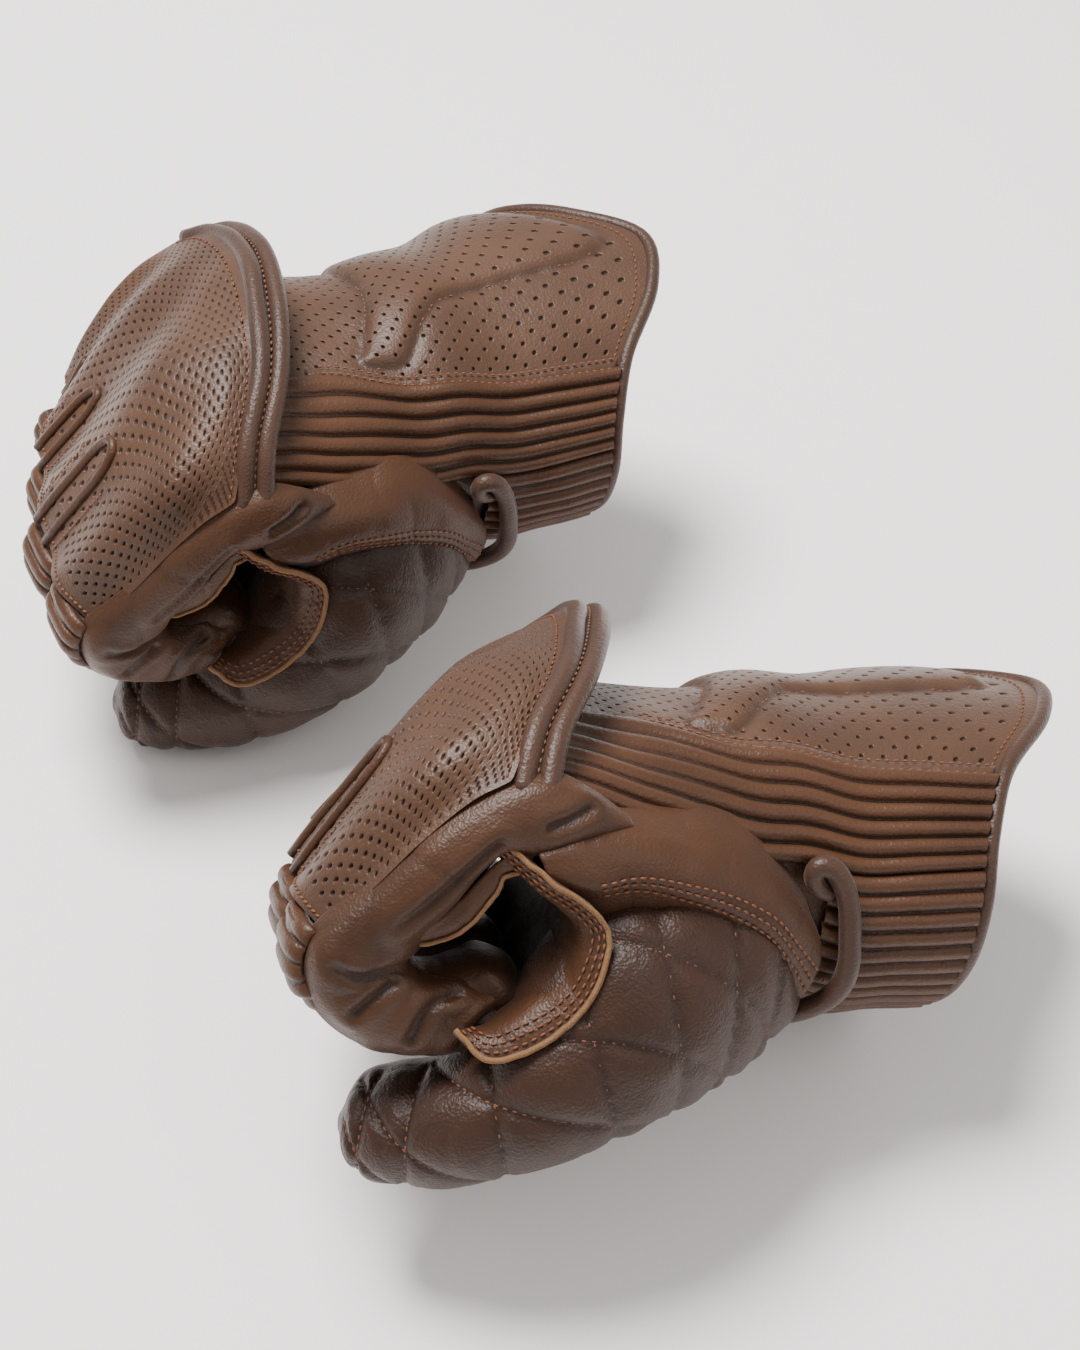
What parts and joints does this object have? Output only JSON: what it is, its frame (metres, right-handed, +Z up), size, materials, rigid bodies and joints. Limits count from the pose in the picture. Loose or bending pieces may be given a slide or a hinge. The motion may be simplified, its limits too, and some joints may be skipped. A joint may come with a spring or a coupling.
{
  "type": "leather gloves",
  "caption": "Pair of short right-hand leather gloves closed as a fist, with perforated knuckle and cuff panels, ribbed sides, quilted thumb and rolled hem.",
  "frame": {"origin": "centre of the bounding box, on the surface that the gloves lie on", "axes": "+Z up, +X from the fingers toward the cuffs, +Y from the near glove to the far glove"},
  "size_m": [0.2769, 0.3149, 0.1259],
  "materials": {
    "perforated_leather": "brown leather with small punched holes, soft sheen",
    "brown_leather": "brown leather, soft sheen",
    "edge_leather": "rolled brown leather edging",
    "quilted_leather": "dark brown quilted leather",
    "raw_leather": "tan raw leather edge and thread",
    "lining": "black knitted lining",
    "black_foam": "black foam under the knuckle panel"
  },
  "bodies": {
    "near_hand": {"near_hand_shell": "brown_leather", "near_knuckle_panel": "perforated_leather", "near_knuckle_piping": "edge_leather", "near_knuckle_pad": "black_foam", "near_cleft_gussets": "brown_leather", "near_index_side": "brown_leather", "near_web_panel": "brown_leather", "near_palm_panel": "edge_leather", "near_wrist_back": "perforated_leather", "near_wrist_ribs": "brown_leather"},
    "near_cuff": {"near_cuff_back": "perforated_leather", "near_cuff_pad": "perforated_leather", "near_cuff_ribs": "brown_leather", "near_cuff_palm": "brown_leather", "near_cuff_seams": "raw_leather", "near_hem_binding": "edge_leather", "near_wrist_loop": "edge_leather", "near_cuff_lining": "lining"},
    "near_thumb": {"near_thumb": "quilted_leather", "near_thumb_patch": "brown_leather"},
    "near_index": {"near_index_finger": "brown_leather", "near_index_flex_ribs": "brown_leather"},
    "near_middle": {"near_middle_finger": "brown_leather", "near_middle_flex_ribs": "brown_leather"},
    "near_ring": {"near_ring_finger": "brown_leather", "near_ring_flex_ribs": "brown_leather"},
    "near_little": {"near_little_finger": "brown_leather", "near_little_flex_ribs": "brown_leather"},
    "far_hand": {"far_hand_shell": "brown_leather", "far_knuckle_panel": "perforated_leather", "far_knuckle_piping": "edge_leather", "far_knuckle_pad": "black_foam", "far_cleft_gussets": "brown_leather", "far_index_side": "brown_leather", "far_web_panel": "brown_leather", "far_palm_panel": "edge_leather", "far_wrist_back": "perforated_leather", "far_wrist_ribs": "brown_leather"},
    "far_cuff": {"far_cuff_back": "perforated_leather", "far_cuff_pad": "perforated_leather", "far_cuff_ribs": "brown_leather", "far_cuff_palm": "brown_leather", "far_cuff_seams": "raw_leather", "far_hem_binding": "edge_leather", "far_wrist_loop": "edge_leather", "far_cuff_lining": "lining"},
    "far_thumb": {"far_thumb": "quilted_leather", "far_thumb_patch": "brown_leather"},
    "far_index": {"far_index_finger": "brown_leather", "far_index_flex_ribs": "brown_leather"},
    "far_middle": {"far_middle_finger": "brown_leather", "far_middle_flex_ribs": "brown_leather"},
    "far_ring": {"far_ring_finger": "brown_leather", "far_ring_flex_ribs": "brown_leather"},
    "far_little": {"far_little_finger": "brown_leather", "far_little_flex_ribs": "brown_leather"}
  },
  "joints": [
    {"name": "near_cuff_flex", "type": "hinge", "parent": "near_hand", "child": "near_cuff", "pos_m": [0.05961, -0.06627, 0.0565], "axis": [-0.2348, 0.8175, -0.5259], "range_deg": [-8, 5], "stiffness_Nm_per_rad": 2.5},
    {"name": "near_thumb_swing", "type": "hinge", "parent": "near_hand", "child": "near_thumb", "pos_m": [0.06279, -0.10007, 0.05958], "axis": [-0.3522, 0.4328, 0.8299], "range_deg": [0, 5], "stiffness_Nm_per_rad": 0.8},
    {"name": "near_index_curl", "type": "hinge", "parent": "near_hand", "child": "near_index", "pos_m": [-0.03465, -0.1212, 0.08448], "axis": [-0.2348, 0.8175, -0.5259], "range_deg": [-12, 0], "stiffness_Nm_per_rad": 0.15},
    {"name": "near_middle_curl", "type": "hinge", "parent": "near_hand", "child": "near_middle", "pos_m": [-0.03908, -0.10225, 0.07218], "axis": [-0.2348, 0.8175, -0.5259], "range_deg": [-12, 8], "stiffness_Nm_per_rad": 0.15},
    {"name": "near_ring_curl", "type": "hinge", "parent": "near_hand", "child": "near_ring", "pos_m": [-0.03683, -0.08284, 0.05762], "axis": [-0.2348, 0.8175, -0.5259], "range_deg": [-12, 8], "stiffness_Nm_per_rad": 0.15},
    {"name": "near_little_curl", "type": "hinge", "parent": "near_hand", "child": "near_little", "pos_m": [-0.03416, -0.06313, 0.04524], "axis": [-0.2348, 0.8175, -0.5259], "range_deg": [-12, 8], "stiffness_Nm_per_rad": 0.15},
    {"name": "far_cuff_flex", "type": "hinge", "parent": "far_hand", "child": "far_cuff", "pos_m": [-0.03041, 0.08681, 0.06602], "axis": [-0.4471, 0.8936, 0.0382], "range_deg": [-8, 5], "stiffness_Nm_per_rad": 2.5},
    {"name": "far_thumb_swing", "type": "hinge", "parent": "far_hand", "child": "far_thumb", "pos_m": [-0.02091, 0.05872, 0.04921], "axis": [-0.3025, -0.1913, 0.9338], "range_deg": [0, 5], "stiffness_Nm_per_rad": 0.8},
    {"name": "far_index_curl", "type": "hinge", "parent": "far_hand", "child": "far_index", "pos_m": [-0.10859, 0.00603, 0.0591], "axis": [-0.4471, 0.8936, 0.0382], "range_deg": [-12, 0], "stiffness_Nm_per_rad": 0.15},
    {"name": "far_middle_curl", "type": "hinge", "parent": "far_hand", "child": "far_middle", "pos_m": [-0.11799, 0.02703, 0.05988], "axis": [-0.4471, 0.8936, 0.0382], "range_deg": [-12, 8], "stiffness_Nm_per_rad": 0.15},
    {"name": "far_ring_curl", "type": "hinge", "parent": "far_hand", "child": "far_ring", "pos_m": [-0.12127, 0.05116, 0.05897], "axis": [-0.4471, 0.8936, 0.0382], "range_deg": [-12, 8], "stiffness_Nm_per_rad": 0.15},
    {"name": "far_little_curl", "type": "hinge", "parent": "far_hand", "child": "far_little", "pos_m": [-0.1239, 0.07442, 0.06001], "axis": [-0.4471, 0.8936, 0.0382], "range_deg": [-12, 8], "stiffness_Nm_per_rad": 0.15},
    {"name": "far_glove_lift", "type": "slide", "parent": "near_hand", "child": "far_hand", "axis": [0, 0, 1], "range_m": [0, 0.25]}
  ]
}
